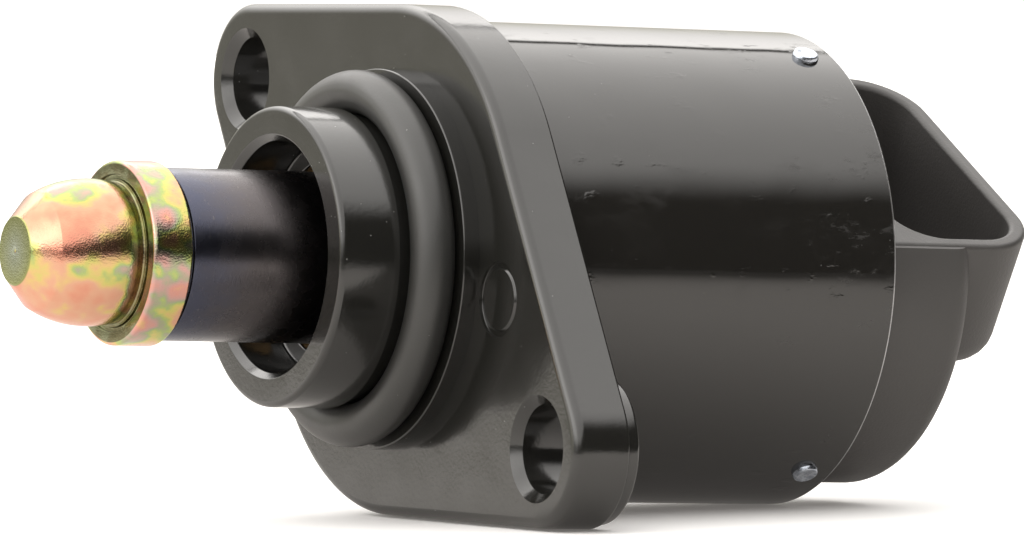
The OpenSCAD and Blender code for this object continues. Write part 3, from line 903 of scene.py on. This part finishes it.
# %% Draw the dome
dome_r = 5.45
tip_r = 2.5
shoulder_r = 4.4
cone_len = 1.75
crest_share = 0.3
dome_front = tip_front + cone_len
dome_crest = dome_back - crest_share * (dome_back - dome_front)
dome_rise = dome_r - shoulder_r
dome_run = dome_crest - dome_front
dome_arc_r = (dome_rise**2 + dome_run**2) / (2.0 * dome_rise)
arc_front = dome_front + 0.6
DOME_STEPS = 40


def dome_radius(place):
    """Radius of the dome at a place along the axis."""
    away = place - dome_crest
    return dome_r - dome_arc_r + math.sqrt(dome_arc_r**2 - away**2)


dome = []
for step in range(1, DOME_STEPS):
    place = arc_front + (dome_back - arc_front) * step / DOME_STEPS
    dome.append((place, dome_radius(place)))
print("the dome's arc has radius", round(dome_arc_r, 1))

# %% Build the pintle's head
dimple_r = 0.35
dimple_depth = 0.12
neck_r = 5.2
face_groove_in = neck_r + 0.25
face_groove_out = neck_r + 0.65
face_groove_depth = 0.25
face_groove_taper = 0.05
collar_back = sleeve_front
plug_r = sleeve_r - sleeve_wall - FIT
screw_hole_r = 2.03
screw_hole_front = collar_front - 2.0
tip = rounded([
    (tip_front + dimple_depth, 0.0, 0.0),
    (tip_front, dimple_r, 0.08),
    (tip_front, tip_r, 0.12),
    (dome_front, shoulder_r, 0.35),
    (arc_front, dome_radius(arc_front), 0.0),
])
collar = rounded([
    (dome_back, dome_radius(dome_back), 0.0),
    (collar_front, neck_r, 0.15),
    (collar_front, face_groove_in, 0.03),
    (collar_front + face_groove_depth, face_groove_in + face_groove_taper, 0.05),
    (collar_front + face_groove_depth, face_groove_out - face_groove_taper, 0.05),
    (collar_front, face_groove_out, 0.03),
    (collar_front, collar_r, 0.3),
    (collar_back, collar_r, 0.25),
    (collar_back, plug_r, 0.05),
    (plug_back, plug_r, 0.3),
    (plug_back, screw_hole_r, 0.1),
    (screw_hole_front, screw_hole_r, 0.1),
    (screw_hole_front, 0.0, 0.0),
])
shape = Shape()
shape.turn(tip + dome + collar)
head = shape.finished("pintle_head_turned", yellow_zinc)
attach(head, "plunger")
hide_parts("pintle_head")

# %% [markdown]
# ## The sleeve
#
# The sleeve is a plain tube that runs in the long bush. Its front end is turned down slightly, which leaves
# the dark line behind the collar.

# %% Build the sleeve
undercut = 0.2
undercut_len = 0.3
shape = Shape()
shape.turn(rounded([
    (collar_back, sleeve_r - sleeve_wall, 0.05),
    (collar_back, sleeve_r - undercut, 0.05),
    (collar_back + undercut_len, sleeve_r - undercut, 0.05),
    (collar_back + undercut_len, sleeve_r, 0.1),
    (sleeve_back, sleeve_r, 0.25),
    (sleeve_back, sleeve_r - sleeve_wall, 0.15),
], closed=True), closed=True)
sleeve = shape.finished("plunger_sleeve_turned", blued_steel)
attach(sleeve, "plunger")
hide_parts("plunger_sleeve")

# %% [markdown]
# ## The spring
#
# A spring of round wire lies between the pintle's head and the lock plate, and takes up the play in the
# thread. Its front end goes with the pintle and its rear end stays; here it is wound in place and is
# attached to neither body.

# %% Wind the spring
wire_r = 0.35
turns = 9
coil_front, coil_back = span("return_spring")
coil_r = span("return_spring", 1)[1] - wire_r
coil_run = coil_back - coil_front - 2 * wire_r
STEPS_A_TURN = 40
WIRE_SIDES = 12
shape = Shape()
wire = []
for step in range(turns * STEPS_A_TURN + 1):
    angle = 2.0 * math.pi * step / STEPS_A_TURN
    outward = Vector((0.0, math.cos(angle), math.sin(angle)))
    forward = Vector((
        coil_run / turns,
        -2 * math.pi * coil_r * math.sin(angle),
        2 * math.pi * coil_r * math.cos(angle),
    ))
    sideways = forward.normalized().cross(outward)
    place = coil_front + wire_r + coil_run * step / (turns * STEPS_A_TURN)
    centre = Vector((place, 0.0, 0.0)) + outward * coil_r
    section = []
    for side in range(WIRE_SIDES):
        round_wire = 2.0 * math.pi * side / WIRE_SIDES
        arm = outward * math.cos(round_wire) + sideways * math.sin(round_wire)
        section.append(shape.mesh.verts.new(centre + arm * wire_r))
    wire.append(section)
shape.stack(wire)
shape.mesh.faces.new(wire[0])
shape.mesh.faces.new(wire[-1])
spring = shape.finished("spring_wound", finishes["spring_steel"])
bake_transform(spring)
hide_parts("return_spring")

# %% [markdown]
# ## The can
#
# The can is a drawn steel tube with a cut rear edge. The blade that cut it left the edge bright, and so the
# paint's recipe turns into bare metal in the last fraction of a millimetre.

# %% Build the can
shape = Shape()
shape.turn(rounded([
    (can_front, can_r - can_wall, 0.1),
    (can_front, can_r, 0.25),
    (can_back, can_r, 0.18),
    (can_back, can_r - can_wall, 0.1),
], closed=True), closed=True)
can = shape.finished("can_painted", can_paint)
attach(can, "housing")
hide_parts("motor_can")

# %% [markdown]
# ## The connector
#
# The rear cover is a plug in the can, a round cap behind it and an open box for the harness plug. The box
# is drawn as a stack of rounded rectangles along its own height, so that its lower edge and its rim get a
# true radius. The cap is cut off flat a little below the box's rim, by a body that stands proud of it on
# the other sides, the box is joined to it, and then the hollow is cut out of both. Such joining and cutting
# of whole bodies is what the Boolean modifier does, and its result becomes the piece.

# %% Prepare joining and cutting
BOX_FRAME = Matrix(((0, 1, 0, 0), (0, 0, 1, 0), (1, 0, 0, 0), (0, 0, 0, 1)))


def box_outline(front, back, half_width, front_corner, back_corner):
    """A rectangle seen from above the box, with its own rounding at the front and the back."""
    return rounded([
        (front, -half_width, front_corner),
        (back, -half_width, back_corner),
        (back, half_width, back_corner),
        (front, half_width, front_corner),
    ], closed=True, steps=12)


def box_stack(layers):
    """A solid from outlines at rising heights, standing in the valve's upright frame."""
    shape = Shape()
    rings = shape.stack([shape.ring(outline, height) for height, outline in layers])
    shape.cover(rings[0])
    shape.cover(rings[-1])
    return shape.raw("box", BOX_FRAME)


def worked(body, operation, tool):
    """The body with the tool joined to it (UNION) or cut out of it (DIFFERENCE)."""
    first, second = [bpy.data.objects.new("worked", mesh) for mesh in (body, tool)]
    for item in (first, second):
        bpy.context.scene.collection.objects.link(item)
    change = first.modifiers.new("work", "BOOLEAN")
    change.operation = operation
    change.object = second
    bpy.context.view_layer.update()
    made = bpy.data.meshes.new_from_object(first.evaluated_get(bpy.context.evaluated_depsgraph_get()))
    for item in (first, second):
        bpy.data.objects.remove(item)
    return made


print("ready to join and cut")

# %% Turn the plug and the cap
cap_r = 16.3
cap_back = can_back + 8.2
cap_edge_r = 1.8
bush_back = span("rear_bush")[1]
bush_hole_r = span("rear_bush", 1)[1] + FIT
shaft_hole_r = 3.2
shaft_hole_back = bush_back + 0.2
seal_front, seal_back = span("rear_seal")
seal_floor_r = inside_can_r - 1.23

round_part = Shape()
cover_rings = round_part.turn(rounded([
    (shaft_hole_back, 0.0, 0.0),
    (shaft_hole_back, shaft_hole_r, 0.05),
    (bush_back, shaft_hole_r, 0.05),
    (bush_back, bush_hole_r, 0.05),
    (cover_front, bush_hole_r, 0.2),
    (cover_front, inside_can_r, 0.3),
    (seal_front - FIT, inside_can_r, 0.05),
    (seal_front - FIT, seal_floor_r, 0.1),
    (seal_back + FIT, seal_floor_r, 0.1),
    (seal_back + FIT, inside_can_r, 0.05),
    (can_back, inside_can_r, 0.1),
    (can_back, cap_r, 0.1),
    (cap_back, cap_r, cap_edge_r),
    (cap_back, 0.0, 0.0),
], steps=8))
print("the plug and cap have", len(cover_rings), "rings")

# %% Draw the box and its hollow
socket_rim = 9.8
socket_low = -1.4
socket_floor = 1.0
socket_front = can_back + 3.0
socket_half = 12.9
socket_wall = 1.3
hollow_top = socket_rim + 2
box_front = can_back - 2
box_front_r = 0.3
box_back_r = 5.0
hollow_front_r = 3.4
hollow_back_r = 3.7
low_edge_r = 2.4
rim_edge_r = 0.4
floor_edge_r = 0.5
QUARTER_STEPS = 6
quarter = [0.5 * math.pi * step / QUARTER_STEPS for step in range(QUARTER_STEPS + 1)]


def low_edge(radius, floor):
    """Insets and heights of a rounded lower edge."""
    return [(radius * (1 - math.sin(a)), floor + radius * (1 - math.cos(a))) for a in quarter]


def rim_edge(side):
    """Insets and heights at the rim, rounded inwards with side 1 and outwards with side -1."""
    reach = side * rim_edge_r
    return [(reach * (1 - math.cos(a)), socket_rim - rim_edge_r * (1 - math.sin(a))) for a in quarter]


box_layers = []
for inset, height in low_edge(low_edge_r, socket_low) + rim_edge(1):
    back = socket_back - inset
    outline = box_outline(box_front + inset, back, socket_half - inset, box_front_r, box_back_r - inset)
    box_layers.append((height, outline))
box = box_stack(box_layers)

hollow_layers = []
for inset, height in low_edge(floor_edge_r, socket_floor) + rim_edge(-1) + [(-rim_edge_r, hollow_top)]:
    back = socket_back - socket_wall - inset
    half = socket_half - socket_wall - inset
    outline = box_outline(socket_front + inset, back, half, hollow_front_r - inset, hollow_back_r - inset)
    hollow_layers.append((height, outline))
hollow = box_stack(hollow_layers)
print("the box stands", round(socket_rim - socket_low, 1), "mm high")

# %% Build the connector
PROUD = 5
cap_top = socket_rim - 0.15
cutter_front = can_back + 0.02
cutter_corner = 0.5
cutter = box_outline(cutter_front, cap_back + PROUD, cap_r + PROUD, cutter_corner, cutter_corner)
above_cap = box_stack([(cap_top, cutter), (cap_r + PROUD, cutter)])
moulded = worked(round_part.raw("round part"), "DIFFERENCE", above_cap)
moulded = worked(worked(moulded, "UNION", box), "DIFFERENCE", hollow)
connector = placed("connector_moulding", moulded, connector_plastic, rolled)
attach(connector, "housing")
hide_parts("connector_housing")

# %% [markdown]
# ## The pins
#
# Three short pins lock the can to the rear cover. Their ends were hammered flat, so each has a slightly
# dished face. A pin is turned about the valve's axis first, and then stood upright and moved to its place.

# %% Build the pins
PINS = 3
PIN_SIDES = 40
pin_r = 1.0
pin_taper = 0.02
pin_place = can_back - 2.6
pin_bottom = can_r - can_wall - 2.45
pin_top = can_r + 0.5
head_len = 0.35
head_taper = 0.12
dish_r = 0.45
dish_depth = 0.12
first_pin = -2.5
pin_profile = rounded([
    (pin_bottom, 0.0, 0.0),
    (pin_bottom, pin_r - pin_taper, 0.2),
    (pin_top - head_len, pin_r, 0.1),
    (pin_top, pin_r - head_taper, 0.16),
    (pin_top - dish_depth, dish_r, 0.2),
    (pin_top - dish_depth, 0.0, 0.0),
], steps=5)
shape = Shape()
for number in range(PINS):
    before = set(shape.mesh.verts)
    shape.turn(pin_profile, count=PIN_SIDES)
    made = [point for point in shape.mesh.verts if point not in before]
    round_can = Matrix.Rotation(math.radians(first_pin + 360 / PINS * number), 4, "X")
    upright = Matrix.Rotation(math.radians(-90), 4, "Y")
    stand = round_can @ Matrix.Translation((pin_place, 0, 0)) @ upright
    bmesh.ops.transform(shape.mesh, matrix=stand, verts=made)
pins = shape.finished("can_pins_staked", finishes["pin_steel"], rolled)
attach(pins, "housing")
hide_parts("can_pins")

# %% [markdown]
# ## The finishes of the pieces that stay as they are
#
# The other solids already have the right shape. Each solid takes the finish that its slot in the record
# names, and every finish was kept under its slot's name when it was made.

# %% Give the solids their finishes
for row in frame["record"]["subparts"]:
    node = frame["nodes"][row["node"]]
    if not node.material_slots:
        node.data.materials.append(None)
    for slot in node.material_slots:
        slot.link = "OBJECT"
        slot.material = finishes[row["material_slot"]]

# %% [markdown]
# ## The floor and the light
#
# The valve lies in a white light tent. It touches the floor in two places, at the flange's lower rear edge
# and at the can's rear, so the floor leans a little with the valve. The floor is a sheet of pale paper. A
# hand's width in front of the valve its colour is painted near black, as painted shade, and beyond it the
# room is dark, which draws the dark band along the can. The tent is bright above and behind. The sky of
# the scene holds that pattern, and the camera itself sees plain white. Some light comes up through the
# paper, as on a light table, and the camera sees the paper as white.

# %% Lay the floor
flange_touch = Vector((flange_t + ear_pad, 0.0, -flange_r)) * MM
can_touch = Vector((can_back, 0.0, -can_r)) * MM
lean = math.atan2(can_touch.z - flange_touch.z, can_touch.x - flange_touch.x)
PAPER_SIDE = 4.0
PAPER_FRONT = -0.4
PAPER_BACK = 4.0
sheet = bmesh.new()
corners = (
    (-PAPER_SIDE, PAPER_FRONT),
    (PAPER_SIDE, PAPER_FRONT),
    (PAPER_SIDE, PAPER_BACK),
    (-PAPER_SIDE, PAPER_BACK),
)
sheet.faces.new([sheet.verts.new((x, y, 0.0)) for x, y in corners])
sheet_data = bpy.data.meshes.new("floor")
sheet.to_mesh(sheet_data)
sheet.free()
floor = bpy.data.objects.new("floor", sheet_data)
bpy.context.scene.collection.objects.link(floor)
floor.matrix_world = Matrix.Translation(flange_touch) @ Matrix.Rotation(-lean, 4, "Y")
print("the floor leans by", round(math.degrees(lean), 2), "degrees")

# %% Finish: the paper
# the band in front of the valve where the paper's colour is painted dark, as painted shade
SHADE_FRONT = -260.0
SHADE_BACK = -80.0
LIT_PAPER = (0.47, 0.45, 0.43)
SEEN_PAPER = (0.97, 0.97, 0.97)
PAINTED_SHADE = (0.02, 0.02, 0.02)
LIGHT_BELOW = (0.13, 0.122, 0.115)
NO_LIGHT = (0.0, 0.0, 0.0)


def paper_finish():
    material, start, surface = new_finish("floor", Roughness=0.7, Emission_Strength=1.0)
    place = in_mm(start)
    unevenness = noise(place, size=40.0, detail=2.0, seed=22.0) * 0.1
    seen = start.node("ShaderNodeLightPath", output="Is Camera Ray")
    paper = mixed((seen + unevenness).clamped(), LIT_PAPER, SEEN_PAPER)
    # painted shade: in front of the valve the paper's colour goes over into near black, a painted dark band
    lit = parts(place)[1].step(SHADE_FRONT, SHADE_BACK)
    feed(surface, "Base Color", mixed(lit, PAINTED_SHADE, paper))
    feed(surface, "Emission Color", mixed(lit, NO_LIGHT, LIGHT_BELOW))
    return material


sheet_data.materials.append(paper_finish())
print("finished the floor")

# %% [markdown]
# The tent's pattern depends only on the direction in which a ray leaves. Towards the photographer the roof
# begins above a slanting edge, behind the valve a wall reaches down to the floor, and between the two runs
# a thin dark seam. The wall grows brighter with its height, and low down it has a yellowish tint. Far out
# on the pintle's side stands a fainter wall.

# %% Light the tent
CAMERA_WHITE = 1.14
GLOOM = 0.03
LAMP = (1.0, 0.972, 0.94)
YELLOWISH = (1.0, 0.96, 0.80)
bpy.context.scene.view_settings.view_transform = "Standard"
world = bpy.data.worlds.new("tent")
world.use_nodes = True
bpy.context.scene.world = world
sky = Wire(world.node_tree)
direction = sky.node("ShaderNodeTexCoord", output="Generated")
across, deep, up = parts(direction)

slant = across * 0.45 + 0.30
roof_edge = slant.sum("MAXIMUM", slant, 0.10)
above_seam = up - deep * 1.07
roof = (up - roof_edge).step(-0.08, 0.16) * above_seam.step(0.01, 0.05) * (2.1 + deep)
back_wall = deep.step(0.02, 0.20) * (up > -0.05) * (1 - above_seam.step(-0.06, -0.02))
back_light = back_wall * (0.54 + up * up * 9.0)
side_light = (0.0 - across).step(0.70, 0.86) * up.step(-0.05, 0.10) * 0.7
glow = roof + back_light + side_light + GLOOM

seen = sky.node("ShaderNodeLightPath", output="Is Camera Ray")
level = seen * CAMERA_WHITE + (1 - seen) * glow
tinted = (back_light * 2).clamped() * (1 - up * 2.5).clamped() * (1 - seen)
hue = mixed(tinted, LAMP, YELLOWISH)
background = world.node_tree.nodes["Background"]
for socket, wire in (("Strength", level), ("Color", hue)):
    world.node_tree.links.new(wire.output, background.inputs[socket])
print("lit the tent")
